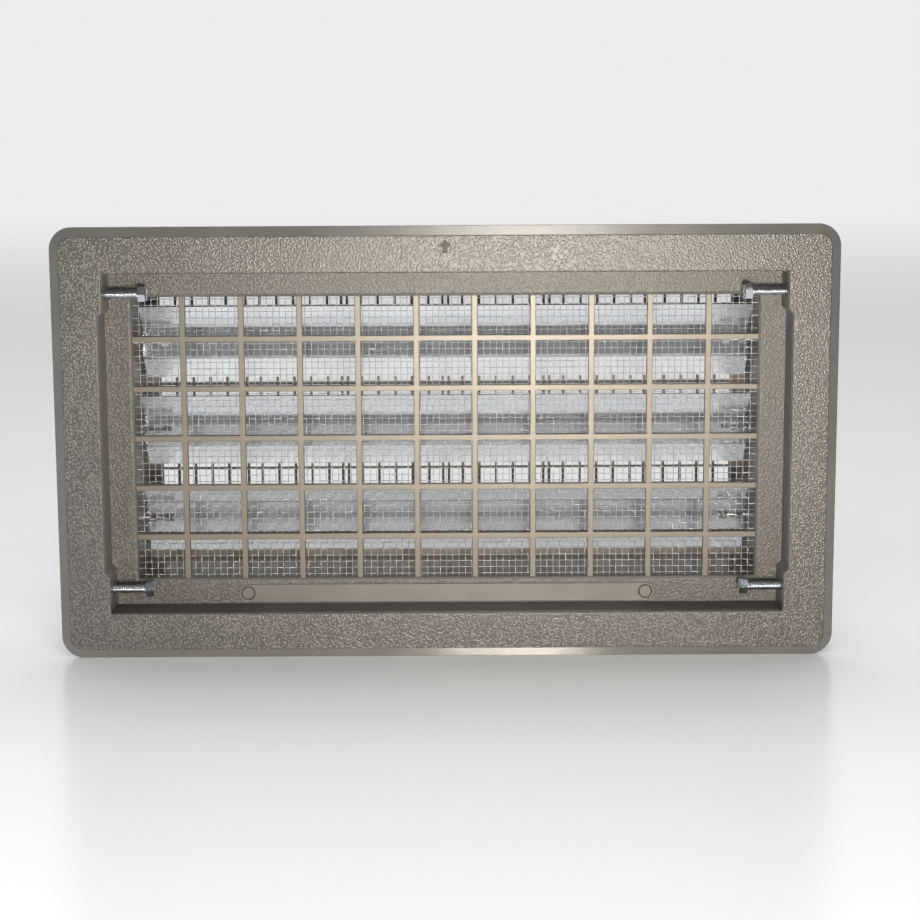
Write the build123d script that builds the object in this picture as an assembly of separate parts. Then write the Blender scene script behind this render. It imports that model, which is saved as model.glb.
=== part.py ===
"""Self-acting louvred foundation vent for a nominal 16 x 8 inch block opening.

Millimetres.  X runs to the right, Y into the wall and Z up.  The origin is the middle of the flange
in the plane of the wall: the face is at negative Y, and the sleeve, screen, louvre box and guard lie
behind it.  "Depth" below is a Y value, and "reach" is a distance from the middle plane along X.
"""

import os
from math import cos, radians, sin, tan

from build123d import *

# Flange against the wall
FLANGE_SIDE_BORDER = 26.075
FLANGE_TOP_BORDER = 26.0
FLANGE_RADIUS = 12.5
FLANGE_PROUD = 5.0
FLANGE_WALL = 3.0
BEVEL_WIDTH = 5.6
BEVEL_DEPTH = 3.4
RIM_WIDTH = 7.0

# Recess and sleeve
RECESS_WIDTH = 386.0
RECESS_HEIGHT = 192.5
RECESS_DEPTH = 25.4
RECESS_EDGE_RADIUS = 0.9
SLEEVE_WALL = 2.5
SLEEVE_RADIUS = 3.0
BOSS_STEP = 2.7
BOSS_HEIGHT = 24.0

# Recess floor with its grille and bare strip
FLOOR_THICKNESS = 5.0
FLOOR_SIDE_BORDER = 15.5
FLOOR_TOP_BORDER = 15.0
WINDOW_ROLL = 2.0
RIB_WIDTH = 3.2
RIB_DRAFT = 5.0
RIB_SETBACK = 1.2
RIB_COLUMNS = 10
RIB_ROWS = 5
RIB_COLUMN_PITCH = 33.2
RIB_ROW_PITCH = 28.6
STRIP_LENGTH = 240.0
STRIP_HEIGHT = 10.4
STRIP_DEPTH = 0.6
STRIP_GAP = 4.0

# Wire screen trapped behind the floor
WIRE_DIAMETER = 0.6
SCREEN_MARGIN = 5.0
SCREEN_CLEARANCE = 0.05
SCREEN_BAR = 1.8
GAP_COLUMNS = 12
GAP_ROWS = 10

# Louvre box with the bar guard at its back
HOUSING_MARGIN = 1.5
HOUSING_WALL = 2.2
HOUSING_DEPTH = 62.0
HOUSING_RADIUS = 4.2
HOUSING_FLANGE_INSET = 2.0
HOUSING_FLANGE = 2.5
GUARD_DEPTH = 3.0
GUARD_CROSS_DEPTH = 1.2
GUARD_BAR = 1.5
GUARD_PITCH = 10.07
GUARD_BARS_EACH_SIDE = 16
GUARD_PAIR_EVERY = 6
GUARD_PAIR_SPACING = 3.5
GUARD_RAIL = 8.5
GUARD_SILL = 5.2
GUARD_CROSS_BAR = 1.6
GUARD_CROSS_TOP = 23.3
GUARD_CROSS_BOTTOM = -28.3
BEARING_SIZE = 9.0
BEARING_HEIGHT = 2.0

# Louvre blades, folded from sheet
BLADE_NAMES = ("bottom", "middle", "top")
PIVOT_INSET = 30.75
BLADE_SHEET = 0.8
BLADE_WEB = 18.7
BLADE_EDGE_GAP = 3.7
BLADE_FLANGE_ANGLE = 50.3
BLADE_BEND_RADIUS = 1.6
BLADE_END_GAP = 2.5
STRAP_COUNT = 3
STRAP_FOLDS = 8
STRAP_WIDTH = 4.2
STRAP_SPACING = 4.8
STRAP_END_GAP = 1.0
PIVOT_SETBACK = 29.6

# Pins, cranks and link
PIN_DIAMETER = 3.0
RUNNING_CLEARANCE = 0.05
SIDE_CLEARANCE = 0.3
CRANK_LENGTH = 14.0
CRANK_ANGLE = -9.0
CRANK_PLATE = 2.0
CRANK_WIDTH = 8.0
STUD_DIAMETER = 3.0
STUD_HEAD_ACROSS = 5.0
STUD_HEAD = 0.8
LINK_WIDTH = 7.0
LINK_THICKNESS = 1.5

# Two-metal coil on the middle right pin
COIL_STRIP = 0.8
COIL_WIDTH = 6.0
COIL_INNER_RADIUS = 3.0
COIL_TURN_PITCH = 3.9
COIL_TURNS = 2
COIL_TAIL = 7.0
COIL_SLOT_CLEARANCE = 0.1
POST_SIZE = 5.0
PIN_TIP = 1.0

# Jack screws in the recess corners
JACK_DIAMETER = 4.8
JACK_LENGTH = 25.4
JACK_HEAD_ACROSS = 7.9
JACK_HEAD_LENGTH = 4.6
JACK_HEAD_CHAMFER = 0.6
JACK_SLOT_WIDTH = 1.2
JACK_SLOT_DEPTH = 1.8
JACK_HEAD_STANDOFF = 18.8
JACK_INSET = 11.95
JACK_SETBACK = 12.0

# Screws that hold the louvre box to the front
SCREW_DIAMETER = 2.9
SCREW_SKIN = 1.5
SCREW_HEAD_ACROSS = 6.4
SCREW_HEAD_HEIGHT = 2.2
SCREW_HOLE_CLEARANCE = 0.2
SCREW_INSET = 19.25

# Depths, from the face to the back
FACE = -FLANGE_PROUD
FLOOR_FRONT = FACE + RECESS_DEPTH
FLOOR_BACK = FLOOR_FRONT + FLOOR_THICKNESS
SCREEN_THICKNESS = 2 * WIRE_DIAMETER
POCKET_FRONT = FLOOR_BACK - SCREEN_THICKNESS - 2 * SCREEN_CLEARANCE
HOUSING_BACK = FLOOR_BACK + HOUSING_DEPTH
GUARD_FRONT = HOUSING_BACK - GUARD_DEPTH
PIVOT = FLOOR_BACK + PIVOT_SETBACK
JACK_AXIS = FACE + JACK_SETBACK

# Widths and heights that follow from each other
FLANGE_WIDTH = RECESS_WIDTH + 2 * FLANGE_SIDE_BORDER
FLANGE_HEIGHT = RECESS_HEIGHT + 2 * FLANGE_TOP_BORDER
SLEEVE_WIDTH = RECESS_WIDTH + 2 * SLEEVE_WALL
SLEEVE_HEIGHT = RECESS_HEIGHT + 2 * SLEEVE_WALL
WINDOW_WIDTH = RECESS_WIDTH - 2 * FLOOR_SIDE_BORDER
WINDOW_HEIGHT = RECESS_HEIGHT - 2 * FLOOR_TOP_BORDER
POCKET_WIDTH = WINDOW_WIDTH + 2 * SCREEN_MARGIN
POCKET_HEIGHT = WINDOW_HEIGHT + 2 * SCREEN_MARGIN
HOUSING_WIDTH = WINDOW_WIDTH + 2 * HOUSING_MARGIN
HOUSING_HEIGHT = WINDOW_HEIGHT + 2 * HOUSING_MARGIN
BLADE_LENGTH = HOUSING_WIDTH - 2 * BLADE_END_GAP
BLADE_PITCH = HOUSING_HEIGHT / 2 - PIVOT_INSET
BLADE_RISE = BLADE_PITCH / 2 - BLADE_EDGE_GAP
STRIP_LEVEL = -(WINDOW_HEIGHT + STRIP_HEIGHT) / 2 - STRIP_GAP
BOSS_REACH = RECESS_WIDTH / 2 - BOSS_STEP
JACK_HEAD_REACH = BOSS_REACH - JACK_HEAD_STANDOFF
JACK_LEVEL = RECESS_HEIGHT / 2 - JACK_INSET

# Reaches along a pivot axis, from the blade out past the side wall
WALL_REACH = HOUSING_WIDTH / 2 + HOUSING_WALL
BEARING_REACH = WALL_REACH + BEARING_HEIGHT
CRANK_REACH = BEARING_REACH + SIDE_CLEARANCE
LINK_REACH = CRANK_REACH + CRANK_PLATE + SIDE_CLEARANCE
STUD_HEAD_REACH = LINK_REACH + LINK_THICKNESS + SIDE_CLEARANCE
LANCE_INNER_REACH = BLADE_LENGTH / 2 - STRAP_END_GAP - STRAP_COUNT * STRAP_SPACING
COIL_REACH = BEARING_REACH + SIDE_CLEARANCE
COIL_OUTER_RADIUS = COIL_INNER_RADIUS + COIL_TURNS * COIL_TURN_PITCH

# Where the box screws go, two at each side
SCREW_REACH = (WALL_REACH + SLEEVE_WIDTH / 2) / 2
SCREW_LEVEL = WINDOW_HEIGHT / 2 - SCREW_INSET
SCREW_PLACES = [(x, z) for x in (-SCREW_REACH, SCREW_REACH) for z in (-SCREW_LEVEL, SCREW_LEVEL)]


def slab(sketch, front, back):
    """Solid between two depths, from a sketch drawn as the vent is seen from the front."""
    return extrude(Plane.XZ.offset(-back) * sketch, amount=back - front)


def along_x(sketch, side, inner, outer):
    """Solid between two reaches on one side (1 right, -1 left), from a sketch of Y across and Z up."""
    start = inner if side > 0 else -outer
    return extrude(Plane.YZ.offset(start) * sketch, amount=outer - inner)


def spread(count, pitch):
    """Evenly pitched places, centred on zero."""
    return [(i - (count - 1) / 2) * pitch for i in range(count)]


def pivot_level(name):
    """Height of a blade's axis."""
    return spread(len(BLADE_NAMES), BLADE_PITCH)[BLADE_NAMES.index(name)]


def hexagon(across):
    """Hexagon of a given size across its flats."""
    return RegularPolygon(across / 2, 6, major_radius=False)


def half_of(outline, turn):
    """The half of an outline that lies on one side of its centre, turned from +X by an angle."""
    size = outline.bounding_box().diagonal
    return outline & Rot(0, 0, turn) * Pos(size / 2, 0) * Rectangle(size, 2 * size)


def recess_outline():
    """Recess with its side walls stepped in at the corners, where the jack screws pass."""
    narrow = Rectangle(RECESS_WIDTH - 2 * BOSS_STEP, RECESS_HEIGHT)
    wide = Rectangle(RECESS_WIDTH, RECESS_HEIGHT - 2 * (BOSS_HEIGHT - BOSS_STEP))
    return narrow + chamfer(wide.vertices(), BOSS_STEP)


def grille_rib(length):
    """One upright rib, lying in the window, narrowest at its front as moulded ribs are."""
    rib_depth = POCKET_FRONT - FLOOR_FRONT - RIB_SETBACK
    back_width = RIB_WIDTH + 2 * rib_depth * tan(radians(RIB_DRAFT))
    section = Rot(0, 0, 180) * Trapezoid(back_width, rib_depth, 90 - RIB_DRAFT)
    middle = POCKET_FRONT - rib_depth / 2
    return Pos(0, middle, -length / 2) * extrude(section, amount=length)


def recess_floor():
    """Floor of the recess: rolled window edge, grille, pocket for the screen and bare strip."""
    floor = slab(recess_outline() - Rectangle(WINDOW_WIDTH, WINDOW_HEIGHT), FLOOR_FRONT, FLOOR_BACK)
    window = floor.faces().sort_by(Axis.Y)[0].inner_wires()[0]
    floor = fillet(window.edges(), WINDOW_ROLL)
    for x in spread(RIB_COLUMNS, RIB_COLUMN_PITCH):
        floor += Pos(x, 0, 0) * grille_rib(WINDOW_HEIGHT + WINDOW_ROLL)
    for z in spread(RIB_ROWS, RIB_ROW_PITCH):
        floor += Pos(0, 0, z) * Rot(0, 90, 0) * grille_rib(WINDOW_WIDTH + WINDOW_ROLL)
    floor -= slab(Rectangle(POCKET_WIDTH, POCKET_HEIGHT), POCKET_FRONT, FLOOR_BACK)
    strip = Pos(0, STRIP_LEVEL) * SlotOverall(STRIP_LENGTH, STRIP_HEIGHT)
    return floor - slab(strip, FLOOR_FRONT, FLOOR_FRONT + STRIP_DEPTH)


def make_front_frame():
    """Flange, sleeve, recess floor and grille, moulded in one."""
    flange = slab(RectangleRounded(FLANGE_WIDTH, FLANGE_HEIGHT, FLANGE_RADIUS), FACE, 0)
    face = flange.faces().sort_by(Axis.Y)[0]
    flange = chamfer(face.edges(), BEVEL_WIDTH, BEVEL_DEPTH, reference=face)
    hollow = RectangleRounded(FLANGE_WIDTH - 2 * RIM_WIDTH, FLANGE_HEIGHT - 2 * RIM_WIDTH,
                              FLANGE_RADIUS / 2)
    flange -= slab(hollow, FACE + FLANGE_WALL, 0)
    sleeve = RectangleRounded(SLEEVE_WIDTH, SLEEVE_HEIGHT, SLEEVE_RADIUS)
    frame = flange + slab(sleeve, FACE + FLANGE_WALL / 2, FLOOR_BACK)
    frame -= slab(recess_outline(), FACE, FLOOR_BACK)
    mouth = frame.faces().sort_by(Axis.Y)[0].inner_wires()[0]
    frame = fillet(mouth.edges(), RECESS_EDGE_RADIUS) + recess_floor()

    pilot = Circle(SCREW_DIAMETER / 2 + RUNNING_CLEARANCE)
    for x, z in SCREW_PLACES:
        frame -= slab(Pos(x, z) * pilot, FLOOR_FRONT + SCREW_SKIN, FLOOR_BACK)
    thread = Circle(JACK_DIAMETER / 2 + RUNNING_CLEARANCE)
    for side in (-1, 1):
        for z in (-JACK_LEVEL, JACK_LEVEL):
            frame -= along_x(Pos(JACK_AXIS, z) * thread, side, BOSS_REACH - BOSS_STEP, SLEEVE_WIDTH)
    return frame


def make_insect_screen():
    """Wire cloth as a thin plate with a plain grid of gaps, each as wide as several meshes."""
    plate = Rectangle(POCKET_WIDTH - 2 * SIDE_CLEARANCE, POCKET_HEIGHT - 2 * SIDE_CLEARANCE)
    column_pitch = WINDOW_WIDTH / GAP_COLUMNS
    row_pitch = WINDOW_HEIGHT / GAP_ROWS
    gap = Rectangle(column_pitch - SCREEN_BAR, row_pitch - SCREEN_BAR)
    gaps = [Pos(x, z) * gap for x in spread(GAP_COLUMNS, column_pitch) for z in spread(GAP_ROWS, row_pitch)]
    back = FLOOR_BACK - SCREEN_CLEARANCE
    return slab(plate - gaps, back - SCREEN_THICKNESS, back)


def guard_bars():
    """Centre lines of the guard's upright bars: single, and a close pair every few places."""
    centres = []
    for k in range(-GUARD_BARS_EACH_SIDE, GUARD_BARS_EACH_SIDE + 1):
        if k % GUARD_PAIR_EVERY == 0:
            centres += [k * GUARD_PITCH + offset for offset in spread(2, GUARD_PAIR_SPACING)]
        else:
            centres.append(k * GUARD_PITCH)
    return centres


def make_guard():
    """Plate at the back of the box, with rails and a sill: upright bars in front, two cross bars behind."""
    air = Pos(0, GUARD_SILL / 2) * Rectangle(HOUSING_WIDTH - 2 * GUARD_RAIL, HOUSING_HEIGHT - GUARD_SILL)
    bars = [Pos(x, 0) * Rectangle(GUARD_BAR, HOUSING_HEIGHT) for x in guard_bars()]
    cross_front = HOUSING_BACK - GUARD_CROSS_DEPTH
    guard = slab(Rectangle(HOUSING_WIDTH, HOUSING_HEIGHT) - (air - bars), GUARD_FRONT, cross_front)
    guard += slab(Rectangle(HOUSING_WIDTH, HOUSING_HEIGHT) - air, cross_front, HOUSING_BACK)
    for z in (GUARD_CROSS_TOP, GUARD_CROSS_BOTTOM):
        guard += slab(Pos(0, z) * Rectangle(HOUSING_WIDTH, GUARD_CROSS_BAR), cross_front, HOUSING_BACK)
    return guard


def coil_post():
    """Slotted post on the right wall that holds the coil's outer end."""
    reach = COIL_REACH + COIL_WIDTH
    middle = PIVOT + COIL_OUTER_RADIUS + COIL_TAIL - POST_SIZE / 2
    post = Pos(middle, 0) * Rectangle(POST_SIZE, POST_SIZE)
    slot = Pos(middle, 0) * Rectangle(2 * POST_SIZE, COIL_STRIP + 2 * COIL_SLOT_CLEARANCE)
    solid = along_x(post, 1, WALL_REACH - HOUSING_WALL / 2, reach)
    return solid - along_x(slot, 1, COIL_REACH - COIL_SLOT_CLEARANCE, reach)


def make_rear_housing():
    """Box round the louvres, with its fixing flange, pin bearings and bar guard."""
    outer = RectangleRounded(HOUSING_WIDTH + 2 * HOUSING_WALL, HOUSING_HEIGHT + 2 * HOUSING_WALL,
                             HOUSING_RADIUS)
    rim = RectangleRounded(SLEEVE_WIDTH - 2 * HOUSING_FLANGE_INSET,
                           SLEEVE_HEIGHT - 2 * HOUSING_FLANGE_INSET, SLEEVE_RADIUS)
    housing = slab(outer, FLOOR_BACK, HOUSING_BACK) + slab(rim, FLOOR_BACK, FLOOR_BACK + HOUSING_FLANGE)
    bearing = Rectangle(BEARING_SIZE, BEARING_SIZE)
    bore = Circle(PIN_DIAMETER / 2 + RUNNING_CLEARANCE)
    for side in (-1, 1):
        for name in BLADE_NAMES:
            seat = Pos(PIVOT, pivot_level(name))
            housing += along_x(seat * bearing, side, WALL_REACH - HOUSING_WALL / 2, BEARING_REACH)
    housing += coil_post()
    housing -= slab(Rectangle(HOUSING_WIDTH, HOUSING_HEIGHT), FLOOR_BACK, HOUSING_BACK)
    housing += make_guard()
    for side in (-1, 1):
        for name in BLADE_NAMES:
            seat = Pos(PIVOT, pivot_level(name))
            housing -= along_x(seat * bore, side, WALL_REACH - 2 * HOUSING_WALL, BEARING_REACH)
    for x, z in SCREW_PLACES:
        hole = Pos(x, z) * Circle(SCREW_DIAMETER / 2 + SCREW_HOLE_CLEARANCE)
        housing -= slab(hole, FLOOR_BACK, FLOOR_BACK + HOUSING_FLANGE)
    return housing


def lance_strap(turn):
    """Strap of sheet folded out of the web round a pin, with a few flats."""
    inner = PIN_DIAMETER / 2 + RUNNING_CLEARANCE
    ring = [RegularPolygon(radius, STRAP_FOLDS, major_radius=False) for radius in (inner + BLADE_SHEET, inner)]
    return half_of(ring[0] - ring[1], turn)


def make_louvre_blade(name):
    """Z-section blade, its web upright, with lanced straps for a pin at each end."""
    fold = BLADE_WEB / 2
    out = (BLADE_RISE - fold) * tan(radians(BLADE_FLANGE_ANGLE))
    line = FilletPolyline((-out, BLADE_RISE), (0, fold), (0, -fold), (out, -BLADE_RISE),
                          radius=BLADE_BEND_RADIUS)
    blade = extrude(Plane.YZ.offset(-BLADE_LENGTH / 2) * trace(line, BLADE_SHEET), amount=BLADE_LENGTH)
    slot = Rectangle(2 * BLADE_SHEET, PIN_DIAMETER + 2 * RUNNING_CLEARANCE)
    for side in (-1, 1):
        blade -= along_x(slot, side, LANCE_INNER_REACH, BLADE_LENGTH / 2)
        for i in range(STRAP_COUNT):
            start = LANCE_INNER_REACH + i * STRAP_SPACING + (STRAP_SPACING - STRAP_WIDTH) / 2
            blade += along_x(lance_strap(180 * ((i + 1) % 2)), side, start, start + STRAP_WIDTH)
    return Pos(0, PIVOT, pivot_level(name)) * blade


def make_pivot_pin(name, side):
    """Pin from the blade's lances out through the side wall, longer where it carries something."""
    outer = BEARING_REACH + PIN_TIP
    if side < 0:
        outer = CRANK_REACH + CRANK_PLATE + PIN_TIP
    elif name == "middle":
        outer = COIL_REACH + COIL_WIDTH + PIN_TIP
    inner = LANCE_INNER_REACH + RUNNING_CLEARANCE
    pin = along_x(Circle(PIN_DIAMETER / 2), side, inner, outer)
    if side > 0 and name == "middle":
        slot = Rectangle(2 * PIN_DIAMETER, COIL_STRIP + 2 * COIL_SLOT_CLEARANCE)
        pin -= along_x(slot, side, COIL_REACH - COIL_SLOT_CLEARANCE, outer)
    return Pos(0, PIVOT, pivot_level(name)) * pin


def make_crank(name):
    """Arm on the left end of a pin, with a headed stud for the link."""
    turn = Rot(0, 0, CRANK_ANGLE)
    arm = turn * Pos(CRANK_LENGTH / 2, 0) * SlotCenterToCenter(CRANK_LENGTH, CRANK_WIDTH)
    stud_place = turn * Pos(CRANK_LENGTH, 0)
    crank = along_x(arm, -1, CRANK_REACH, CRANK_REACH + CRANK_PLATE)
    crank += along_x(stud_place * Circle(STUD_DIAMETER / 2), -1, CRANK_REACH, STUD_HEAD_REACH)
    crank += along_x(stud_place * hexagon(STUD_HEAD_ACROSS), -1, STUD_HEAD_REACH,
                     STUD_HEAD_REACH + STUD_HEAD)
    bore = Circle(PIN_DIAMETER / 2 + RUNNING_CLEARANCE / 2)
    crank -= along_x(bore, -1, CRANK_REACH, CRANK_REACH + CRANK_PLATE)
    return Pos(0, PIVOT, pivot_level(name)) * crank


def make_link_bar():
    """Flat bar on the three crank studs."""
    levels = spread(len(BLADE_NAMES), BLADE_PITCH)
    bar = Rot(0, 0, 90) * SlotCenterToCenter(levels[-1] - levels[0], LINK_WIDTH)
    for z in levels:
        bar -= Pos(0, z) * Circle(STUD_DIAMETER / 2 + RUNNING_CLEARANCE)
    bar = along_x(bar, -1, LINK_REACH, LINK_REACH + LINK_THICKNESS)
    turn = radians(CRANK_ANGLE)
    return Pos(0, PIVOT + CRANK_LENGTH * cos(turn), CRANK_LENGTH * sin(turn)) * bar


def make_bimetal_coil():
    """Flat coil of strip: half rings that grow by half a turn's pitch, from the pin to the post."""
    step = COIL_TURN_PITCH / 2
    inner_tail = PIN_DIAMETER / 2 + COIL_INNER_RADIUS + COIL_STRIP / 2
    strip = Pos((inner_tail - PIN_DIAMETER) / 2, 0) * Rectangle(inner_tail, COIL_STRIP)
    for i in range(2 * COIL_TURNS):
        radius = COIL_INNER_RADIUS + i * step
        ring = Circle(radius + COIL_STRIP / 2) - Circle(radius - COIL_STRIP / 2)
        strip += Pos(step * (i % 2), 0) * half_of(ring, 90 + 180 * (i % 2))
    tail = COIL_TAIL + COIL_STRIP / 2
    strip += Pos(COIL_OUTER_RADIUS + COIL_TAIL - tail / 2, 0) * Rectangle(tail, COIL_STRIP)
    return Pos(0, PIVOT, 0) * along_x(strip, 1, COIL_REACH, COIL_REACH + COIL_WIDTH)


def make_jack_screw(side, level):
    """Slotted hexagon screw that lies level in a recess corner, its head towards the middle."""
    head_start = JACK_HEAD_REACH - JACK_HEAD_LENGTH
    tip = JACK_HEAD_REACH + JACK_LENGTH
    head = along_x(hexagon(JACK_HEAD_ACROSS), 1, head_start, JACK_HEAD_REACH)
    head = chamfer(head.faces().sort_by(Axis.X)[0].edges(), JACK_HEAD_CHAMFER)
    head -= along_x(Rectangle(JACK_SLOT_WIDTH, 2 * JACK_HEAD_ACROSS), 1, head_start,
                    head_start + JACK_SLOT_DEPTH)
    shank = along_x(Circle(JACK_DIAMETER / 2), 1, JACK_HEAD_REACH - JACK_SLOT_DEPTH, tip)
    screw = Pos(0, JACK_AXIS, level) * (head + shank)
    return screw if side > 0 else mirror(screw, about=Plane.YZ)


def make_housing_screws():
    """Four hexagon screws from behind, through the box flange into the recess floor."""
    seat = FLOOR_BACK + HOUSING_FLANGE
    tip = FLOOR_FRONT + SCREW_SKIN + SIDE_CLEARANCE
    screw = slab(hexagon(SCREW_HEAD_ACROSS), seat, seat + SCREW_HEAD_HEIGHT)
    screw += slab(Circle(SCREW_DIAMETER / 2), tip, seat)
    return Compound([Pos(x, 0, z) * screw for x, z in SCREW_PLACES])


def make_nodes():
    """Every piece of the vent, by name."""
    nodes = {
        "front_frame": make_front_frame(),
        "insect_screen": make_insect_screen(),
        "rear_housing": make_rear_housing(),
        "link_bar": make_link_bar(),
        "bimetal_coil": make_bimetal_coil(),
        "housing_screws": make_housing_screws(),
    }
    for name in BLADE_NAMES:
        nodes[f"louvre_blade_{name}"] = make_louvre_blade(name)
        nodes[f"crank_{name}"] = make_crank(name)
        for side, side_name in ((-1, "left"), (1, "right")):
            nodes[f"pivot_pin_{name}_{side_name}"] = make_pivot_pin(name, side)
    for level, level_name in ((-JACK_LEVEL, "bottom"), (JACK_LEVEL, "top")):
        for side, side_name in ((-1, "left"), (1, "right")):
            nodes[f"jack_screw_{level_name}_{side_name}"] = make_jack_screw(side, level)
    return nodes


os.makedirs("parts", exist_ok=True)
for node, solid in make_nodes().items():
    export_step(solid, f"parts/{node}.step")
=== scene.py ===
"""Looks of a self-acting louvred foundation vent: moulded front, wire screen, bright louvres, bar guard.

Everything is in metres, in the frame of the solids: X to the right, Y into the wall, Z up, with the
origin in the middle of the flange in the plane of the wall.
"""
import logging
from dataclasses import dataclass
from enum import Enum
from math import cos, pi, radians, sin
from typing import Any, Iterable, Optional, Sequence, Union

import bpy
import numpy as np
from mathutils import Euler, Matrix, Vector


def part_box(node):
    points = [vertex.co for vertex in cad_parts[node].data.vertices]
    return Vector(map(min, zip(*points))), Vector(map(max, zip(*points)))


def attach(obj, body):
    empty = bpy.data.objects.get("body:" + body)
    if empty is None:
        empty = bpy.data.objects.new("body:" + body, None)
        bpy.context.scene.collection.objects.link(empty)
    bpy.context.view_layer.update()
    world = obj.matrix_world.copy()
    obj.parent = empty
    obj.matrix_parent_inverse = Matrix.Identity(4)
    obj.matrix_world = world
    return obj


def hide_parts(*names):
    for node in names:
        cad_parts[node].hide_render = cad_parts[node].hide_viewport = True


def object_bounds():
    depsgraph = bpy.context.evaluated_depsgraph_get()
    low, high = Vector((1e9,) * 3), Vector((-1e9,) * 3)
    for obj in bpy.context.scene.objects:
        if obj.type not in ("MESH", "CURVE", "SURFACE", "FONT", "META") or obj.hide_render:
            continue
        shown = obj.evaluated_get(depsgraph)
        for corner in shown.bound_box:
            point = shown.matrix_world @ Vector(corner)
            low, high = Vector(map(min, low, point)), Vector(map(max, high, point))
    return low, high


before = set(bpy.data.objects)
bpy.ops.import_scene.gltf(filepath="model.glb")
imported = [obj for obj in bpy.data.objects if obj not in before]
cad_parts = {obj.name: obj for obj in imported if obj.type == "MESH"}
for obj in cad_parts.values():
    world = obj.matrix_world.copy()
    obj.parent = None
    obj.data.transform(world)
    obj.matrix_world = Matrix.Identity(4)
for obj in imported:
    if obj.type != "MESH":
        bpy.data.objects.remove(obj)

CAD_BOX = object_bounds()
LOG = logging.getLogger("foundation_vent")
MM = 0.001
ROWS = ("top", "middle", "bottom")
SIDES = ("left", "right")

Number = Union[float, "Signal"]
Colour = tuple[float, float, float, float]


def rgb(red: float, green: float, blue: float) -> Colour:
    """Colour with full alpha, from three linear values."""
    return (red, green, blue, 1.0)


class Signal:
    """A node's output socket that can be used in Python expressions."""

    def __init__(self, shader: "Shader", socket: bpy.types.NodeSocket) -> None:
        """Wrap one output.

        Args:
            shader: the material's node tree.
            socket: the output socket.
        """
        self.shader = shader
        self.socket = socket

    def _math(self, operation: str, left: Number, right: Number = 0.0) -> "Signal":
        """One Math node.

        Args:
            operation: the node's operation.
            left: first value or signal.
            right: second value or signal.

        Returns:
            The node's value.
        """
        return self.shader.node("ShaderNodeMath", {"operation": operation}, {0: left, 1: right})

    def __add__(self, other: Number) -> "Signal":
        """Sum."""
        return self._math("ADD", self, other)

    def __radd__(self, other: Number) -> "Signal":
        """Sum with a plain number first."""
        return self._math("ADD", other, self)

    def __sub__(self, other: Number) -> "Signal":
        """Difference."""
        return self._math("SUBTRACT", self, other)

    def __rsub__(self, other: Number) -> "Signal":
        """Difference with a plain number first."""
        return self._math("SUBTRACT", other, self)

    def __mul__(self, other: Number) -> "Signal":
        """Product."""
        return self._math("MULTIPLY", self, other)

    def __rmul__(self, other: Number) -> "Signal":
        """Product with a plain number first."""
        return self._math("MULTIPLY", other, self)

    def __abs__(self) -> "Signal":
        """Size without its sign."""
        return self._math("ABSOLUTE", self)

    def below(self, limit: Number) -> "Signal":
        """One where the signal is under the limit, else nought."""
        return self._math("LESS_THAN", self, limit)

    def smooth(self, low: Number, high: Number) -> "Signal":
        """Smooth rise from nought at low to one at high."""
        return self.shader.node("ShaderNodeMapRange", {"interpolation_type": "SMOOTHSTEP"},
                                {"Value": self, "From Min": low, "From Max": high})

    def between(self, low: float, high: float, start: Number = 0.0, end: Number = 1.0) -> "Signal":
        """Straight map from one range to another, held at the ends.

        Args:
            low: value that gives start.
            high: value that gives end.
            start: first result.
            end: last result.

        Returns:
            The mapped signal.
        """
        return self.shader.node("ShaderNodeMapRange", {"interpolation_type": "LINEAR"},
                                {"Value": self, "From Min": low, "From Max": high, "To Min": start,
                                 "To Max": end})


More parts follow.
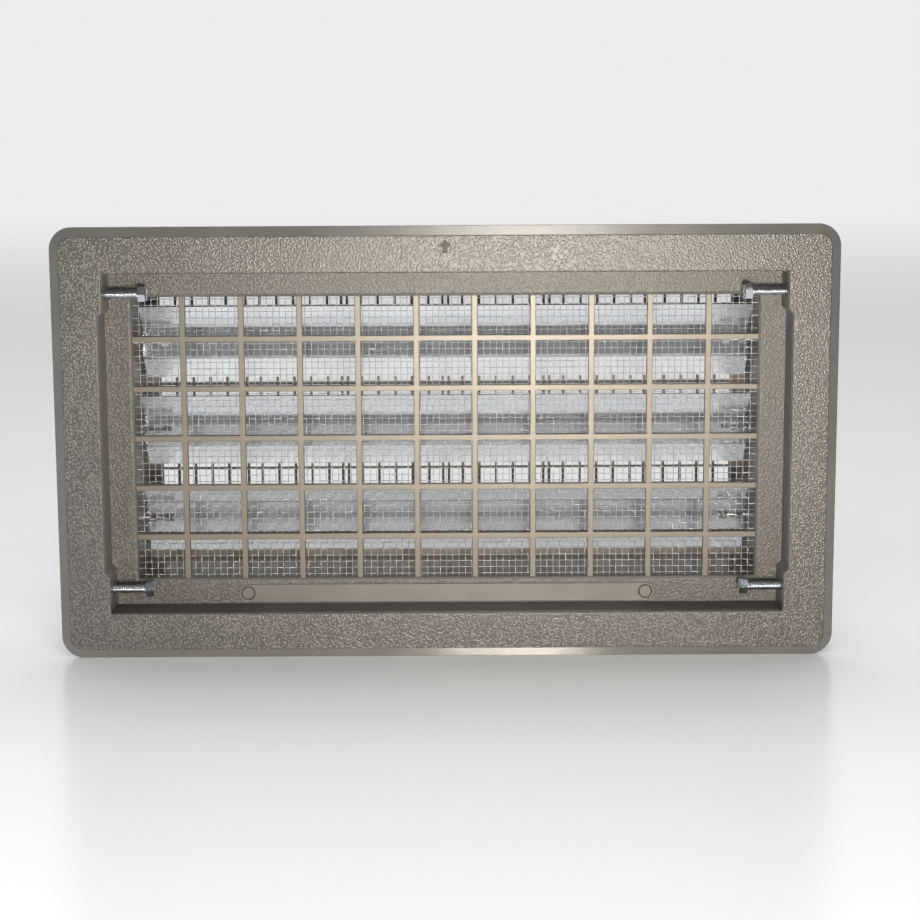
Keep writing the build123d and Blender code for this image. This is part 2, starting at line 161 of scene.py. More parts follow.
class Shader:
    """A material or a sky under construction: its node tree and its one main shader."""

    def __init__(self, owner: Union[bpy.types.Material, bpy.types.World]) -> None:
        """Start from the owner's default nodes.

        Args:
            owner: a new material, or a new world.
        """
        self.owner = owner
        owner.use_nodes = True
        self.tree = owner.node_tree
        main_node = "Background" if isinstance(owner, bpy.types.World) else "Principled BSDF"
        self.surface = self.tree.nodes[main_node]

    @classmethod
    def material(cls, name: str) -> "Shader":
        """Start a new material.

        Args:
            name: its name.

        Returns:
            Its shader.
        """
        return cls(bpy.data.materials.new(name))

    def node(self, kind: str, settings: Optional[dict[str, Any]] = None,
             inputs: Optional[dict[Union[str, int], Any]] = None, output: Union[str, int] = 0) -> Signal:
        """Add any node.

        Args:
            kind: the node's type.
            settings: attributes, set first; "ramp" holds a colour ramp's stops.
            inputs: values or signals for its sockets.
            output: the output to hand back.

        Returns:
            That output.
        """
        made = self.tree.nodes.new(kind)
        for key, value in (settings or {}).items():
            if key == "ramp":
                self._ramp(made.color_ramp, value)
            else:
                setattr(made, key, value)
        for key, value in (inputs or {}).items():
            self._feed(made.inputs[key], value)
        return Signal(self, made.outputs[output])

    def _feed(self, socket: bpy.types.NodeSocket, value: Any) -> None:
        """Link a signal to a socket, or set its value."""
        if isinstance(value, Signal):
            self.tree.links.new(value.socket, socket)
        else:
            socket.default_value = value

    @staticmethod
    def _ramp(ramp: bpy.types.ColorRamp, stops: Sequence[tuple[float, Colour]]) -> None:
        """Give a colour ramp its stops."""
        while len(ramp.elements) < len(stops):
            ramp.elements.new(0.5)
        for element, (place, colour) in zip(ramp.elements, stops):
            element.position = place
            element.color = colour

    def place(self) -> Signal:
        """Object coordinates, which are the vent's own frame in metres."""
        return self.node("ShaderNodeTexCoord", output="Object")

    def axis(self, name: str, source: str = "Object") -> Signal:
        """One coordinate of the place that is shaded.

        Args:
            name: X, Y or Z.
            source: Object for the vent's frame, Generated for a sky's direction.

        Returns:
            The coordinate.
        """
        place = self.node("ShaderNodeTexCoord", output=source)
        return self.node("ShaderNodeSeparateXYZ", {}, {0: place}, output=name)

    def ray(self, kind: str) -> Signal:
        """One for rays of a kind, such as Is Camera Ray, else nought."""
        return self.node("ShaderNodeLightPath", output=kind)

    def noise(self, scale: float, detail: float = 2.0, roughness: float = 0.5,
              stretch: tuple[float, float, float] = (1.0, 1.0, 1.0)) -> Signal:
        """Noise of a given number of cells per metre.

        Args:
            scale: cells per metre.
            detail: octaves.
            roughness: weight of each finer octave.
            stretch: factor on each axis.

        Returns:
            Value about one half.
        """
        mapped = self.node("ShaderNodeMapping", {}, {"Vector": self.place(), "Scale": stretch})
        return self.node("ShaderNodeTexNoise", {}, {"Vector": mapped, "Scale": scale, "Detail": detail,
                                                    "Roughness": roughness})

    def blend(self, share: Number, first: Any, second: Any) -> Signal:
        """Mix of two colours.

        Args:
            share: nought for the first, one for the second.
            first: colour or signal.
            second: colour or signal.

        Returns:
            The mixed colour.
        """
        return self.node("ShaderNodeMix", {"data_type": "RGBA"}, {0: share, 6: first, 7: second}, output=2)

    def bump(self, height: Signal, distance: float, strength: float = 1.0,
             below: Optional[Signal] = None) -> Signal:
        """Normal of a height.

        Args:
            height: height from nought to one.
            distance: metres that one stands for.
            strength: share of the effect.
            below: normal that it is laid on.

        Returns:
            The bent normal.
        """
        inputs: dict[Union[str, int], Any] = {"Height": height, "Distance": distance, "Strength": strength}
        if below is not None:
            inputs["Normal"] = below
        return self.node("ShaderNodeBump", {}, inputs)

    def dress(self, **sockets: Any) -> Union[bpy.types.Material, bpy.types.World]:
        """Set the main shader's sockets, by name with underscores for spaces.

        Args:
            sockets: values or signals.

        Returns:
            The finished material or world.
        """
        for name, value in sockets.items():
            self._feed(self.surface.inputs[name.replace("_", " ")], value)
        return self.owner

    def overlay(self, share: Signal, second: Signal) -> None:
        """Lay a second shader over the main one.

        Args:
            share: nought for the main shader, one for the second.
            second: the second shader.
        """
        main_shader = Signal(self, self.surface.outputs[0])
        mixed = self.node("ShaderNodeMixShader", {}, {0: share, 1: main_shader, 2: second})
        self._feed(self.tree.nodes["Material Output"].inputs["Surface"], mixed)


class Grain(Enum):
    """How a moulding's skin is textured."""

    PEBBLED = "pebbled on the face and the recess floor, plain elsewhere"
    PLAIN = "fine mould finish all over"


@dataclass(frozen=True)
class Moulding:
    """Bronze-brown moulded plastic with a little metal flake in it."""

    name: str
    colour: Colour
    # Darker tone for the random clouds; on pebbled mouldings also the painted shade of pebble valleys and
    # the sill.
    dark_tone_and_shade: Colour
    grain: Grain
    flake: float = 0.2
    rib_colour: Optional[Colour] = None
    roughness: float = 0.32
    floor_roughness: float = 0.38
    plain_roughness: float = 0.35
    bevel_roughness: float = 0.20
    wall_roughness: float = 0.45
    edge: float = 0.7 * MM
    cell: float = 1.15 * MM
    relief: float = 0.085 * MM
    wander: float = 0.8 * MM
    ripple: float = 0.25 * MM
    mould: float = 0.012 * MM
    cloud_scale: float = 28.0
    ripple_scale: float = 55.0
    wander_scale: float = 420.0
    fine_scale: float = 2600.0
    face: float = -5.0 * MM
    bevel: float = 3.4 * MM
    floor: float = 20.4 * MM
    sill_level: float = 96.25 * MM
    sill_over: float = 0.75 * MM
    sill_under: float = 1.44375 * MM
    sill_reach: float = 193.2 * MM
    skin: float = 0.25 * MM
    rib_rise: float = 0.9 * MM

    def pebbles(self, shader: Shader) -> Signal:
        """Rounded Voronoi cells, their places pushed about by noise.

        Args:
            shader: the material under construction.

        Returns:
            One on top of a pebble, nought in the valleys.
        """
        push = shader.node("ShaderNodeTexNoise", {}, {"Vector": shader.place(), "Scale": self.wander_scale,
                                                      "Detail": 1.0}, output="Color")
        place = shader.node("ShaderNodeVectorMath", {"operation": "MULTIPLY_ADD"},
                            {0: push, 1: (self.wander, self.wander, self.wander), 2: shader.place()})
        cells = shader.node("ShaderNodeTexVoronoi", {"feature": "SMOOTH_F1"},
                            {"Vector": place, "Scale": 1.0 / self.cell, "Smoothness": 0.3})
        return 1.0 - cells.between(0.10, 0.62)

    def make(self) -> bpy.types.Material:
        """Build the material.

        Edges are rounded by a small radius in the normal.  Pebbles lie only where a point's depth is that
        of the face or of the recess floor, and the valleys between them are painted darker as painted shade.
        The rest has a fine mould finish on slow ripples, glossy on the bevel round the face and dull on the
        walls of the recess.  The ribs have their own tint, and the sill of the recess is painted in the dark
        colour as painted shade.

        Returns:
            The material.
        """
        shader = Shader.material(self.name)
        cloud = shader.noise(self.cloud_scale, 3.0)
        fine = shader.noise(self.fine_scale, 2.0, 0.6)
        colour = shader.blend(cloud.between(0.3, 0.7, 0.7, 1.0), self.dark_tone_and_shade, self.colour)
        rounded = shader.node("ShaderNodeBevel", {"samples": 4}, {"Radius": self.edge})
        rippled = shader.bump(shader.noise(self.ripple_scale, 2.0, 0.4), self.ripple, 0.35, rounded)
        plain = shader.bump(fine, self.mould, 0.6, rippled)
        if self.grain is Grain.PLAIN:
            rough = self.plain_roughness + (cloud - 0.5) * 0.12
            return shader.dress(Base_Color=colour, Metallic=self.flake, Roughness=rough, Normal=plain)
        across, depth, level = (shader.axis(name) for name in "XYZ")
        on_face = abs(depth - self.face).below(self.skin)
        on_floor = abs(depth - self.floor).below(self.skin)
        on_bevel = (depth - self.face).below(self.bevel)
        on_wall = (1.0 - on_bevel) * depth.below(self.floor - self.skin)
        on_rib = 1.0 - depth.below(self.floor + self.rib_rise)
        inside = abs(across).below(self.sill_reach) * (abs(level) - self.sill_level).below(self.sill_under)
        painted_shade_on_sill = on_wall * inside * level.below(self.sill_over - self.sill_level)
        pebbled = on_face + on_floor
        dome = self.pebbles(shader)
        skin = shader.bump((dome + fine * 0.3) * pebbled, self.relief, 1.0, plain)
        # Painted shade: the valleys between pebbles are blended toward the dark colour.
        colour = shader.blend((1.0 - dome) * pebbled, colour, self.dark_tone_and_shade)
        colour = shader.blend(on_rib, colour, self.rib_colour or self.colour)
        # Painted shade: the sill, the bottom wall of the recess, is blended to the dark colour.
        colour = shader.blend(painted_shade_on_sill, colour, self.dark_tone_and_shade)
        rough = (self.plain_roughness + on_bevel * (self.bevel_roughness - self.plain_roughness)
                 + on_wall * (self.wall_roughness - self.plain_roughness)
                 + on_face * (self.roughness - self.bevel_roughness)
                 + on_floor * (self.floor_roughness - self.plain_roughness) + (cloud - 0.5) * 0.06)
        return shader.dress(Base_Color=colour, Metallic=self.flake, Roughness=rough, Normal=skin)


@dataclass(frozen=True)
class Sheet:
    """Rolled bright metal sheet, its roll marks along X."""

    name: str
    colour: Colour
    dull_colour: Colour
    roughness: float = 0.26
    line_scale: float = 1400.0
    line_relief: float = 0.002 * MM
    wave_scale: float = 30.0
    wave_relief: float = 0.25 * MM
    cloud_scale: float = 60.0

    def make(self) -> bpy.types.Material:
        """Build the material: long thin roll lines, slow oil-can waves and faint cloudy dulling.

        Returns:
            The material.
        """
        shader = Shader.material(self.name)
        lines = shader.noise(self.line_scale, 3.0, 0.6, (0.02, 1.0, 1.0))
        wave = shader.noise(self.wave_scale, 1.0, 0.4, (0.15, 1.0, 1.0))
        cloud = shader.noise(self.cloud_scale, 4.0, 0.6, (0.3, 1.0, 1.0))
        colour = shader.blend(cloud.between(0.35, 0.75), self.colour, self.dull_colour)
        rough = self.roughness + (cloud - 0.5) * 0.08 + (lines - 0.5) * 0.08
        waved = shader.bump(wave, self.wave_relief, 0.5)
        normal = shader.bump(lines, self.line_relief, 0.6, waved)
        return shader.dress(Base_Color=colour, Metallic=1.0, Roughness=rough, Normal=normal)


@dataclass(frozen=True)
class PlatedMetal:
    """Plated or drawn steel with a lightly mottled skin."""

    name: str
    colour: Colour
    shade: Colour
    roughness: float = 0.28
    mottle_scale: float = 260.0
    fine_scale: float = 5200.0
    fine_relief: float = 0.008 * MM

    def make(self) -> bpy.types.Material:
        """Build the material: cloudy colour and sheen, with a fine draw texture.

        Returns:
            The material.
        """
        shader = Shader.material(self.name)
        cloud = shader.noise(self.mottle_scale, 3.0, 0.6)
        fine = shader.noise(self.fine_scale, 2.0)
        colour = shader.blend(cloud.between(0.35, 0.7), self.colour, self.shade)
        rough = self.roughness + (cloud - 0.5) * 0.2
        return shader.dress(Base_Color=colour, Metallic=1.0, Roughness=rough,
                            Normal=shader.bump(fine, self.fine_relief, 0.5))


FRONT_PLASTIC = Moulding("bronze_front_moulding", rgb(0.192, 0.184, 0.172), rgb(0.084, 0.080, 0.075),
                         Grain.PEBBLED, rib_colour=rgb(0.172, 0.154, 0.126))
# Painted shade: the raised arrow and strip rings are the face's plastic, painted much darker for their
# missing sheen.
MARK_PLASTIC = Moulding("bronze_raised_marks", rgb(0.085, 0.080, 0.073), rgb(0.065, 0.060, 0.055),
                        Grain.PLAIN, plain_roughness=0.5)
BACK_PLASTIC = Moulding("bronze_back_marks", rgb(0.204, 0.195, 0.182), rgb(0.160, 0.152, 0.142),
                        Grain.PLAIN)
BOX_PLASTIC = Moulding("bronze_box_moulding", rgb(0.190, 0.169, 0.145), rgb(0.135, 0.119, 0.101),
                       Grain.PLAIN, flake=0.1)
BLADE_SHEET = Sheet("mill_aluminium", rgb(0.88, 0.89, 0.90), rgb(0.80, 0.81, 0.83))
WIRE = PlatedMetal("galvanised_wire", rgb(0.48, 0.49, 0.50), rgb(0.35, 0.36, 0.37), 0.40)
ZINC = PlatedMetal("bright_zinc", rgb(0.78, 0.82, 0.86), rgb(0.62, 0.67, 0.72), 0.22)
PIN_STEEL = PlatedMetal("drawn_pin_steel", rgb(0.74, 0.74, 0.74), rgb(0.58, 0.58, 0.58), 0.26)
LINK_STEEL = PlatedMetal("plated_link_steel", rgb(0.60, 0.60, 0.58), rgb(0.46, 0.46, 0.45), 0.32)
COIL_METAL = PlatedMetal("two_metal_strip", rgb(0.58, 0.47, 0.33), rgb(0.42, 0.38, 0.34), 0.30)


def surface_mesh(name: str, points: np.ndarray, faces: np.ndarray,
                 smooth: bool = True) -> bpy.types.Object:
    """Object from an array of points and an array of faces.

    Args:
        name: the piece's name.
        points: n by 3 array, in metres.
        faces: m by 3 or m by 4 array of point numbers.
        smooth: whether its faces are shaded smooth.

    Returns:
        The new object, at the origin.
    """
    mesh = bpy.data.meshes.new(name)
    count, sides = faces.shape
    mesh.vertices.add(len(points))
    mesh.vertices.foreach_set("co", np.ascontiguousarray(points, np.float32).ravel())
    mesh.loops.add(count * sides)
    mesh.loops.foreach_set("vertex_index", np.ascontiguousarray(faces, np.int32).ravel())
    mesh.polygons.add(count)
    mesh.polygons.foreach_set("loop_start", np.arange(0, count * sides, sides, dtype=np.int32))
    mesh.polygons.foreach_set("use_smooth", np.full(count, smooth))
    mesh.update(calc_edges=True)
    mesh.validate()
    piece = bpy.data.objects.new(name, mesh)
    bpy.context.scene.collection.objects.link(piece)
    return piece


def grid_faces(rows: int, columns: int) -> np.ndarray:
    """Quads of a grid that is closed round its columns.

    Args:
        rows: points along the grid.
        columns: points round it.

    Returns:
        Array of quads; row r, column c is point r * columns + c.
    """
    r, c = np.meshgrid(np.arange(rows - 1), np.arange(columns), indexing="ij")
    here, after = r * columns + c, r * columns + (c + 1) % columns
    quads = np.stack([here, after, after + columns, here + columns], -1)
    return quads.reshape(-1, 4)


def paint(objects: Iterable[bpy.types.Object], material: bpy.types.Material) -> None:
    """Give objects one material in all their slots.

    Args:
        objects: the objects.
        material: their finish.
    """
    for item in objects:
        if not item.material_slots:
            item.data.materials.append(material)
        for slot in item.material_slots:
            slot.material = material


class Facing(Enum):
    """Which way a mark stands out."""

    FRONT = -1
    BACK = 1


@dataclass
class RingMarks:
    """Raised rings that the mould leaves on a flat face."""

    name: str
    slot: str
    depth: float
    facing: Facing
    radius: float
    places: Sequence[tuple[float, float]]
    body: str = "frame"
    line: float = 0.45 * MM
    around: int = 40
    across: int = 9

    def build(self) -> bpy.types.Object:
        """Lay the rings.

        Each is a half-round bead carried round a circle: at angle a round the bead the radius is the
        circle's plus the line's half width times cos a, and the height is that half width times sin a.

        Returns:
            All the rings as one piece.
        """
        bead = np.linspace(-0.15 * pi, 1.15 * pi, self.across)[:, None]
        turn = (2 * pi * np.arange(self.around) / self.around)[None, :]
        radius = self.radius + self.line * np.cos(bead)
        height = self.depth + self.facing.value * self.line * np.sin(bead) + 0 * turn
        ring = np.stack([radius * np.cos(turn), height, radius * np.sin(turn)], -1).reshape(-1, 3)
        centres = np.array([(x, 0.0, z) for x, z in self.places])
        quads = grid_faces(self.across, self.around)[:, ::-self.facing.value]
        starts = np.arange(len(centres))[:, None, None] * len(ring)
        piece = surface_mesh(self.name, (ring[None] + centres[:, None]).reshape(-1, 3),
                             (quads[None] + starts).reshape(-1, 4))
        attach(piece, self.body)
        return piece


@dataclass
class FrontMoulding:
    """Flange, recess and grille, with the raised arrow that shows which way is up and two ring marks."""

    node: str = "front_frame"
    body: str = "frame"
    slot: str = "moulded_front"
    arrow_level: float = 111.0 * MM
    arrow_height: float = 7.4 * MM
    arrow_width: float = 7.0 * MM
    stem_width: float = 2.6 * MM
    relief: float = 0.45 * MM
    sunk: float = 0.10 * MM
    slope: float = 0.22 * MM
    strip_depth: float = 21.0 * MM
    strip_ring: float = 3.7 * MM
    strip_reach: float = 114.8 * MM
    strip_level: float = -90.45 * MM
    back_depth: float = -2.0 * MM
    back_ring: float = 3.2 * MM
    row_places_mm: tuple[float, ...] = (-168, -84, 0, 84, 168)
    row_levels_mm: tuple[float, ...] = (-107, 107)
    end_places_mm: tuple[float, ...] = (-203.8, 203.8)
    end_levels_mm: tuple[float, ...] = (-54, 0, 54)

    def arrow(self) -> bpy.types.Object:
        """Raised arrow on the face.

        Its outline is a head and a stem.  Each ring of the surface is the outline drawn in by a slope:
        the foot is sunk in the face, the shoulder stands proud, and the top closes on the middle line.

        Returns:
            The arrow.
        """
        head = 0.5 * self.arrow_height
        half, stem, tall = self.arrow_width / 2, self.stem_width / 2, self.arrow_height / 2
        outline = np.array([(0, tall), (-half, tall - head), (-stem, tall - head), (-stem, -tall),
                            (stem, -tall), (stem, tall - head), (half, tall - head)])
        before = outline - np.roll(outline, 1, 0)
        after = np.roll(outline, -1, 0) - outline
        inward = [np.stack([-side[:, 1], side[:, 0]], 1) / np.linalg.norm(side, axis=1)[:, None]
                  for side in (before, after)]
        mitre = (inward[0] + inward[1]) / (1 + (inward[0] * inward[1]).sum(1))[:, None]
        top = outline + mitre * self.slope
        spine = np.stack([np.zeros(len(outline)), np.clip(top[:, 1], -tall + stem, tall - head)], 1)
        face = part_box(self.node)[0][1]
        rings = [(outline, face + self.sunk), (top, face - self.relief), (spine, face - self.relief)]
        points = np.concatenate([
            np.stack([ring[:, 0], np.full(len(ring), depth), ring[:, 1] + self.arrow_level], 1)
            for ring, depth in rings])
        piece = surface_mesh("up_arrow", points, grid_faces(len(rings), len(outline)), smooth=False)
        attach(piece, self.body)
        return piece

    def dress(self) -> None:
        """Finish the moulding and its marks."""
        paint([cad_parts[self.node]], FRONT_PLASTIC.make())
        pair = [(x, self.strip_level) for x in (-self.strip_reach, self.strip_reach)]
        strip_marks = RingMarks("strip_ring_marks", self.slot, self.strip_depth, Facing.FRONT,
                                self.strip_ring, pair)
        # The arrow and strip rings get the darker colour that is painted shade.
        paint([self.arrow(), strip_marks.build()], MARK_PLASTIC.make())
        rows = [(x * MM, z * MM) for x in self.row_places_mm for z in self.row_levels_mm]
        ends = [(x * MM, z * MM) for x in self.end_places_mm for z in self.end_levels_mm]
        back_marks = RingMarks("flange_ejector_marks", self.slot, self.back_depth, Facing.BACK,
                               self.back_ring, rows + ends)
        paint([back_marks.build()], BACK_PLASTIC.make())
        LOG.info("front moulding, arrow and ring marks dressed")


@dataclass
class WireScreen:
    """Plain-woven wire cloth in the place of the screen's solid."""

    node: str = "insect_screen"
    body: str = "frame"
    pitch: float = 3.63 * MM
    wire: float = 0.48 * MM
    sides: int = 5
    steps: int = 2

    def wires(self, length: float, count: int, phase: int) -> tuple[np.ndarray, np.ndarray]:
        """Wavy wires side by side.

        Wire i runs along u at v = i pitches from the middle.  It weaves to and fro by the wire's
        radius times (-1)^(i + phase) cos(pi u / pitch), so it is at its furthest at each crossing.

        Args:
            length: length of each wire.
            count: number of wires.
            phase: 0 or 1, which side the middle wire passes first.

        Returns:
            Points as (u, v, w) and quads.
        """
        radius = self.wire / 2
        half = int(length / self.pitch / 2 * self.steps)
        inner = np.arange(-half, half + 1) * self.pitch / self.steps
        u = np.concatenate([[-length / 2], inner, [length / 2]])
        i = np.arange(count) - (count - 1) // 2
        first_side = np.where((i + phase) % 2 == 0, 1, -1)[:, None]
        wave = radius * first_side * np.cos(pi * u / self.pitch)[None, :]
        turn = 2 * pi * np.arange(self.sides) / self.sides
        shape = (count, len(u), self.sides)
        points = np.stack([np.broadcast_to(u[None, :, None], shape),
                           np.broadcast_to((i * self.pitch)[:, None, None] + radius * np.sin(turn), shape),
                           np.broadcast_to(wave[:, :, None] + radius * np.cos(turn), shape)], -1)
        quads = grid_faces(len(u), self.sides)
        starts = np.arange(count)[:, None, None] * (len(u) * self.sides)
        return points.reshape(-1, 3), (quads[None] + starts).reshape(-1, 4)

    def build(self) -> bpy.types.Object:
        """Weave the cloth.

        Returns:
            The screen.
        """
        low, high = (np.array(corner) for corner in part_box(self.node))
        size, middle = high - low, (low + high) / 2
        columns = 2 * int(size[0] / self.pitch / 2) + 1
        rows = 2 * int(size[2] / self.pitch / 2) + 1
        upright, upright_faces = self.wires(size[2], columns, 0)
        level, level_faces = self.wires(size[0], rows, 1)
        upright = upright[:, [1, 2, 0]] + middle
        level = level[:, [0, 2, 1]] + middle
        points = np.concatenate([upright, level])
        faces = np.concatenate([upright_faces[:, ::-1], level_faces + len(upright)])
        screen = surface_mesh("woven_wire_screen", points, faces)
        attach(screen, self.body)
        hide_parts(self.node)
        return screen

    def dress(self) -> None:
        """Weave and finish the screen."""
        screen = self.build()
        paint([screen], WIRE.make())
        LOG.info("screen woven: %d faces", len(screen.data.polygons))


@dataclass
class JackScrews:
    """The four corner screws, with the thread that their solids leave plain."""

    diameter: float = 4.8 * MM
    thread_pitch: float = 1.06 * MM
    thread_depth: float = 0.42 * MM
    head_length: float = 4.6 * MM
    runout_start: float = 0.8 * MM
    runout_length: float = 1.2 * MM
    tip_taper: float = 1.2 * MM
    tip_drop: float = 0.9 * MM
    closing_radii: tuple[float, float] = (0.2 * MM, 0.05 * MM)
    head_slack: float = 0.05 * MM
    around: int = 28
    per_turn: int = 8
    levels: tuple[str, ...] = ("top", "bottom")

    def head(self, node: str, under: float, side: int) -> tuple[np.ndarray, np.ndarray]:
        """The head's own triangles, taken from the solid.

        Args:
            node: the screw's solid.
            under: X of the head's underside.
            side: 1 right, -1 left.

        Returns:
            Points and triangles.
        """
        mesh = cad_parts[node].data
        points = np.zeros(len(mesh.vertices) * 3)
        mesh.vertices.foreach_get("co", points)
        points = points.reshape(-1, 3)
        mesh.calc_loop_triangles()
        triangles = np.zeros(len(mesh.loop_triangles) * 3, np.int32)
        mesh.loop_triangles.foreach_get("vertices", triangles)
        triangles = triangles.reshape(-1, 3)
        outer = (side * points[triangles, 0]).max(1)
        return points, triangles[outer < side * under + self.head_slack]

    def shank(self, under: float, tip: float, axis: np.ndarray) -> tuple[np.ndarray, np.ndarray]:
        """Threaded shank.

        The radius at distance s along the shank and angle a round it is the outer radius, less the
        thread's depth times a rounded saw of s / pitch - a / turn, and it tapers to the tip.

        Args:
            under: X where the shank leaves the head.
            tip: X of its end.
            axis: Y and Z of its axis.

        Returns:
            Points and quads.
        """
        length = abs(tip - under)
        rows = int(length / self.thread_pitch * self.per_turn)
        s = np.linspace(0, length, rows)[:, None]
        a = (np.arange(self.around) / self.around)[None, :]
        phase = (s / self.thread_pitch - a) % 1.0
        groove = np.clip(np.abs(phase - 0.5) * 2.6 - 0.25, 0, 1)
        runout = np.clip((s - self.runout_start) / self.runout_length, 0, 1)
        taper = np.clip((s - length + self.tip_taper) / self.tip_taper, 0, 1)
        radius = self.diameter / 2 - self.thread_depth * groove * runout - self.tip_drop * taper ** 1.5
        first, last = (np.full((1, self.around), closing) for closing in self.closing_radii)
        radius = np.concatenate([first, radius, last])
        along = np.concatenate([[[0.0]], s, [[length]]])
        x = under + np.sign(tip - under) * np.broadcast_to(along, radius.shape)
        y, z = axis[0] + radius * np.cos(2 * pi * a), axis[1] + radius * np.sin(2 * pi * a)
        points = np.stack([x, y, z], -1)
        quads = grid_faces(len(radius), self.around)
        return points.reshape(-1, 3), quads if tip > under else quads[:, ::-1]

    def build(self, node: str, side: int) -> bpy.types.Object:
        """One screw.

        Args:
            node: its solid.
            side: 1 right, -1 left.

        Returns:
            The screw.
        """
        low, high = (np.array(corner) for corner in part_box(node))
        inner, tip = (low[0], high[0]) if side > 0 else (high[0], low[0])
        under = inner + side * self.head_length
        axis = (low[1:] + high[1:]) / 2
        points, triangles = self.head(node, under, side)
        shank, quads = self.shank(under, tip, axis)
        halves = np.concatenate([quads[:, [0, 1, 2]], quads[:, [0, 2, 3]]])
        screw = surface_mesh(node + "_threaded", np.concatenate([points, shank]),
                             np.concatenate([triangles, halves + len(points)]), smooth=False)
        flags = np.arange(len(screw.data.polygons)) >= len(triangles)
        screw.data.polygons.foreach_set("use_smooth", flags)
        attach(screw, node)
        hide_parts(node)
        return screw

    def dress(self) -> None:
        """Thread and finish the four screws."""
        material = ZINC.make()
        for level in self.levels:
            for number, side in enumerate(SIDES):
                paint([self.build(f"jack_screw_{level}_{side}", 2 * number - 1)], material)
        LOG.info("jack screws threaded")


@dataclass
class LouvreWorks:
    """Blades, pins, cranks, link, coil and the box that holds them."""

    mark_depth: float = 27.9 * MM
    mark_ring: float = 2.6 * MM
    mark_places_mm: tuple[float, ...] = (-150, -50, 50, 150)
    mark_levels_mm: tuple[float, ...] = (-90.9, 90.9)

    def dress(self) -> None:
        """Finish every piece of the works."""
        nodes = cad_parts
        paint([nodes[f"louvre_blade_{row}"] for row in ROWS], BLADE_SHEET.make())
        paint([nodes[f"pivot_pin_{row}_{side}"] for row in ROWS for side in SIDES], PIN_STEEL.make())
        paint([nodes[f"crank_{row}"] for row in ROWS] + [nodes["link_bar"]], LINK_STEEL.make())
        paint([nodes["bimetal_coil"]], COIL_METAL.make())
        paint([nodes["housing_screws"]], ZINC.make())
        places = [(x * MM, z * MM) for x in self.mark_places_mm for z in self.mark_levels_mm]
        marks = RingMarks("box_ejector_marks", "moulded_box", self.mark_depth, Facing.BACK, self.mark_ring,
                          places)
        paint([nodes["rear_housing"], marks.build()], BOX_PLASTIC.make())
        LOG.info("louvre works dressed")


class Linked(Enum):
    """How a lamp treats a set of objects."""

    ONLY = "INCLUDE"
    NOT = "EXCLUDE"


@dataclass(frozen=True)
class Lamp:
    """A soft rectangular lamp aimed at a point, which may light or be shaded by some objects only."""

    name: str
    place: tuple[float, float, float]
    aim: tuple[float, float, float]
    width: float
    height: float
    watts: float
    colour: tuple[float, float, float]
    lights: Optional[tuple[Linked, Sequence[bpy.types.Object]]] = None
    shaded_by: Optional[tuple[Linked, Sequence[bpy.types.Object]]] = None

    def light(self) -> None:
        """Hang the lamp."""
        data = bpy.data.lights.new(self.name, "AREA")
        data.shape = "RECTANGLE"
        data.size, data.size_y = self.width, self.height
        data.energy, data.color = self.watts, self.colour
        lamp = bpy.data.objects.new(self.name, data)
        lamp.location = self.place
        lamp.rotation_euler = (Vector(self.aim) - Vector(self.place)).to_track_quat("-Z", "Y").to_euler()
        bpy.context.scene.collection.objects.link(lamp)
        if self.lights:
            lamp.light_linking.receiver_collection = self.linked("lights", *self.lights)
        if self.shaded_by:
            lamp.light_linking.blocker_collection = self.linked("shaded_by", *self.shaded_by)

    def linked(self, use: str, how: Linked, objects: Sequence[bpy.types.Object]) -> bpy.types.Collection:
        """Collection of the objects that the lamp treats apart.

        Args:
            use: ending of the collection's name.
            how: whether only these count, or all but these.
            objects: the objects.

        Returns:
            The collection.
        """
        group = bpy.data.collections.new(f"{self.name}_{use}")
        for item in objects:
            group.objects.link(item)
        for entry in group.collection_objects:
            entry.light_linking.link_state = how.value
        return group


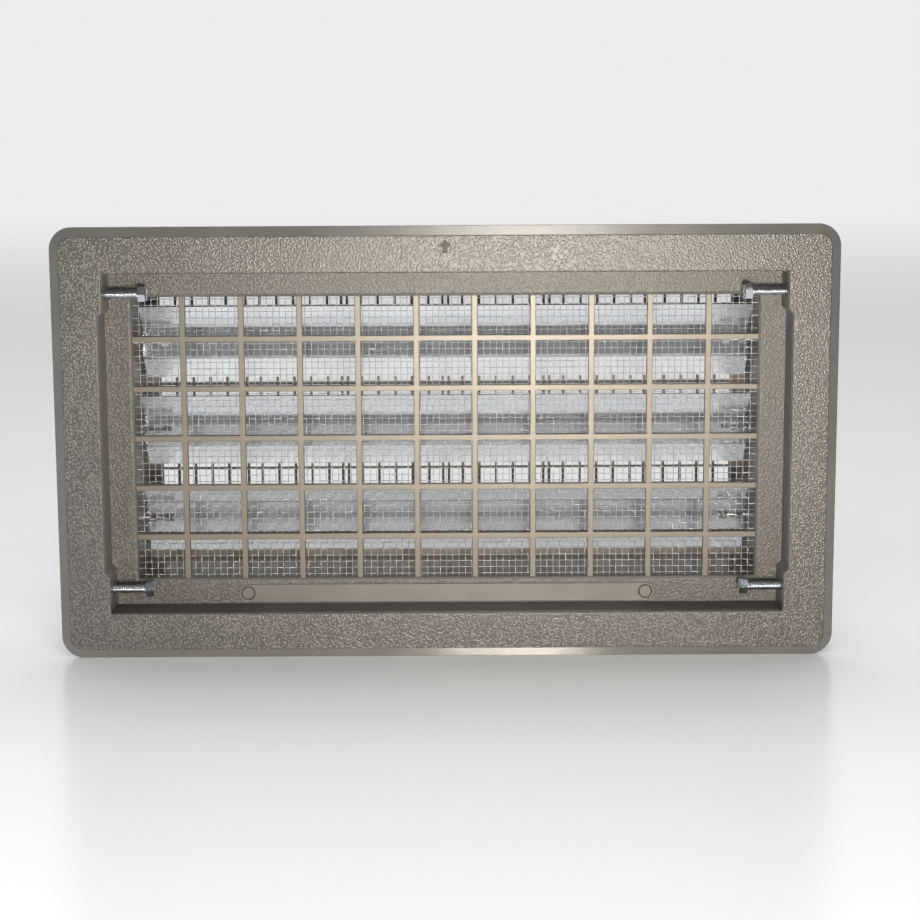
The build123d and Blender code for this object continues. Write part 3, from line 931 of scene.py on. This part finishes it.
@dataclass
class Studio:
    """Floor, lamps, sky and camera."""

    frame_px: float = 920.0
    focal_px: float = 2100.0
    sensor_mm: float = 36.0
    distance: float = 1.175
    tilt: float = 9.2
    roll: float = -0.3
    middle_px: tuple[float, float] = (446.0, 445.0)
    floor_span: float = 8.0
    floor_front: float = -0.92
    floor_fade: tuple[float, float] = (1.0, 5.0)
    sky_rise: tuple[float, float] = (-0.7, 0.6)
    white: tuple[float, float, float] = (0.84, 0.84, 0.85)
    dim: tuple[float, float, float] = (0.06, 0.065, 0.075)

    def camera(self) -> None:
        """Camera that looks down at the flange's middle from the photograph's place."""
        data = bpy.data.cameras.new("camera")
        data.sensor_width = self.sensor_mm
        data.lens = self.focal_px / self.frame_px * self.sensor_mm
        data.shift_x = 0.5 - self.middle_px[0] / self.frame_px
        data.shift_y = self.middle_px[1] / self.frame_px - 0.5
        data.clip_start, data.clip_end = 0.01, 50.0
        tilt = radians(self.tilt)
        face = Vector((0.0, CAD_BOX[0][1], 0.0))
        camera = bpy.data.objects.new("camera", data)
        camera.location = face - self.distance * Vector((0.0, cos(tilt), -sin(tilt)))
        turn = Euler((pi / 2 - tilt, 0.0, 0.0)).to_matrix() @ Matrix.Rotation(radians(self.roll), 3, "Z")
        camera.rotation_euler = turn.to_euler()
        bpy.context.scene.collection.objects.link(camera)
        bpy.context.scene.camera = camera

    def floor(self) -> bpy.types.Object:
        """Pale floor under the flange, white further back to the eye.

        Returns:
            The floor.
        """
        half = self.floor_span / 2
        level = CAD_BOX[0][2]
        points = np.array([(-half, self.floor_front, level), (half, self.floor_front, level),
                           (half, self.floor_span, level), (-half, self.floor_span, level)])
        piece = surface_mesh("studio_floor", points, np.array([[0, 1, 2, 3]]), smooth=False)
        shader = Shader.material("pale_floor")
        haze = shader.noise(3.0, 2.0)
        colour = shader.blend(haze, rgb(0.74, 0.74, 0.74), rgb(0.78, 0.78, 0.78))
        shader.dress(Base_Color=colour, Roughness=0.22)
        glow = shader.node("ShaderNodeEmission", {}, {"Color": rgb(*self.white), "Strength": 1.0})
        shader.overlay(shader.ray("Is Camera Ray") * shader.axis("Y").smooth(*self.floor_fade), glow)
        paint([piece], shader.owner)
        return piece

    def sky(self) -> None:
        """Surroundings that are dim in front and white behind, and white to the eye."""
        shader = Shader(bpy.data.worlds.new("studio_sky"))
        rise = shader.axis("Y", "Generated").smooth(*self.sky_rise)
        around = shader.blend(rise, rgb(*self.dim), rgb(*self.white))
        bpy.context.scene.world = shader.dress(
            Color=shader.blend(shader.ray("Is Camera Ray"), around, rgb(*self.white)))

    def lamps(self, floor: bpy.types.Object) -> None:
        """Hang the lamps.

        A warm lamp at the vent's level makes the sheen of the front, and leaves out the floor and the
        mirror-bright blades.  A cool fill comes from the left, a strip from above draws the top bevel, a
        broad lamp hangs behind, and one washes the floor in front.  Two lamps under the floor are what
        the undersides mirror: one for the blades, and a small one for the bottom bevel.

        Args:
            floor: the studio's floor.
        """
        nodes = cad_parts
        blades = [nodes[f"louvre_blade_{row}"] for row in ROWS]
        front, box = nodes["front_frame"], nodes["rear_housing"]
        lamps = (
            Lamp("front_lamp", (0.10, -1.35, -0.03), (0.03, 0.0, 0.0), 0.24, 0.18, 14.0, (1.0, 0.91, 0.79),
                 lights=(Linked.NOT, blades + [floor])),
            Lamp("left_fill", (-1.2, -1.1, 0.30), (0.0, 0.0, 0.0), 0.8, 0.6, 4.0, (0.86, 0.95, 1.0)),
            Lamp("high_strip", (0.12, -1.0, 1.55), (0.03, 0.0, 0.1), 0.20, 0.5, 5.5, (1.0, 0.95, 0.88)),
            Lamp("overhead", (0.0, 0.6, 1.7), (0.0, -0.1, 0.0), 1.6, 1.0, 12.0, (1.0, 0.99, 0.98)),
            Lamp("floor_wash", (0.0, -1.0, 0.8), (0.0, -0.85, 0.0), 0.8, 0.4, 9.0, (1.0, 1.0, 1.0),
                 lights=(Linked.ONLY, [floor])),
            Lamp("blade_glow", (0.0, 0.25, -0.60), (0.0, 0.05, 0.0), 0.9, 0.5, 0.60, (0.95, 0.98, 1.0),
                 lights=(Linked.ONLY, blades), shaded_by=(Linked.NOT, blades + [floor, front, box])),
            Lamp("bevel_glow", (0.05, -0.13, -0.50), (0.03, 0.0, -0.12), 0.10, 0.08, 0.50, (1.0, 0.92, 0.80),
                 lights=(Linked.ONLY, [front]), shaded_by=(Linked.NOT, [floor])),
        )
        for lamp in lamps:
            lamp.light()

    def build(self) -> None:
        """Set up the whole studio."""
        self.camera()
        self.sky()
        self.lamps(self.floor())
        bpy.context.scene.view_settings.view_transform = "Standard"
        LOG.info("studio set")


def main() -> None:
    """Dress the vent and set the studio."""
    logging.basicConfig(level=logging.INFO, format="%(name)s: %(message)s")
    FrontMoulding().dress()
    WireScreen().dress()
    JackScrews().dress()
    LouvreWorks().dress()
    Studio().build()


if __name__ == "__main__":
    main()
